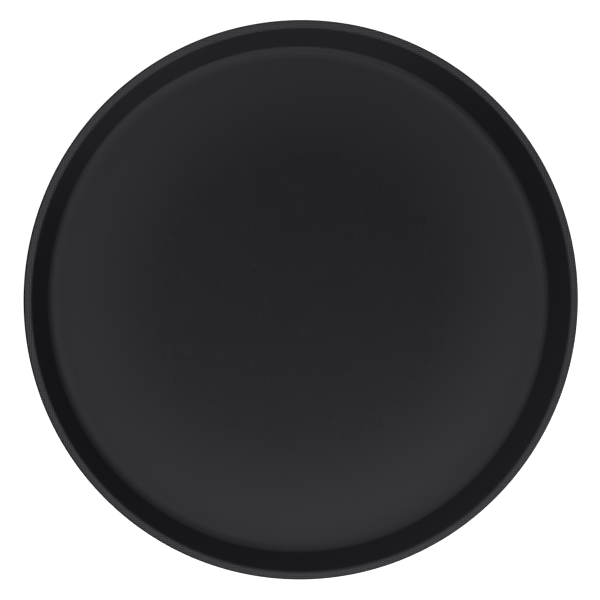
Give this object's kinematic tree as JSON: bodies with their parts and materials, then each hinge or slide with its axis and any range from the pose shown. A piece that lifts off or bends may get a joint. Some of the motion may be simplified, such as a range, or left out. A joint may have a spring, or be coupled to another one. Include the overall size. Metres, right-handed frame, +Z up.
{
  "type": "serving tray",
  "caption": "Round serving tray with a flat floor, sloping wall and rounded rim: a moulded shell, a bonded non-skid skin and a steel hoop inside the rim.",
  "frame": {"origin": "centre of the foot ring's plane, on the tray's axis", "axes": "+Z up along the tray's axis; +X and +Y lie along the threads of the skin's woven emboss"},
  "size_m": [0.3556, 0.3556, 0.0254],
  "materials": {
    "moulded_resin": "satin",
    "nonskid_rubber": "matte",
    "galvanised_steel": "satin"
  },
  "bodies": {
    "root": {"tray_shell": "moulded_resin", "nonskid_skin": "nonskid_rubber", "rim_wire": "galvanised_steel"}
  },
  "joints": []
}
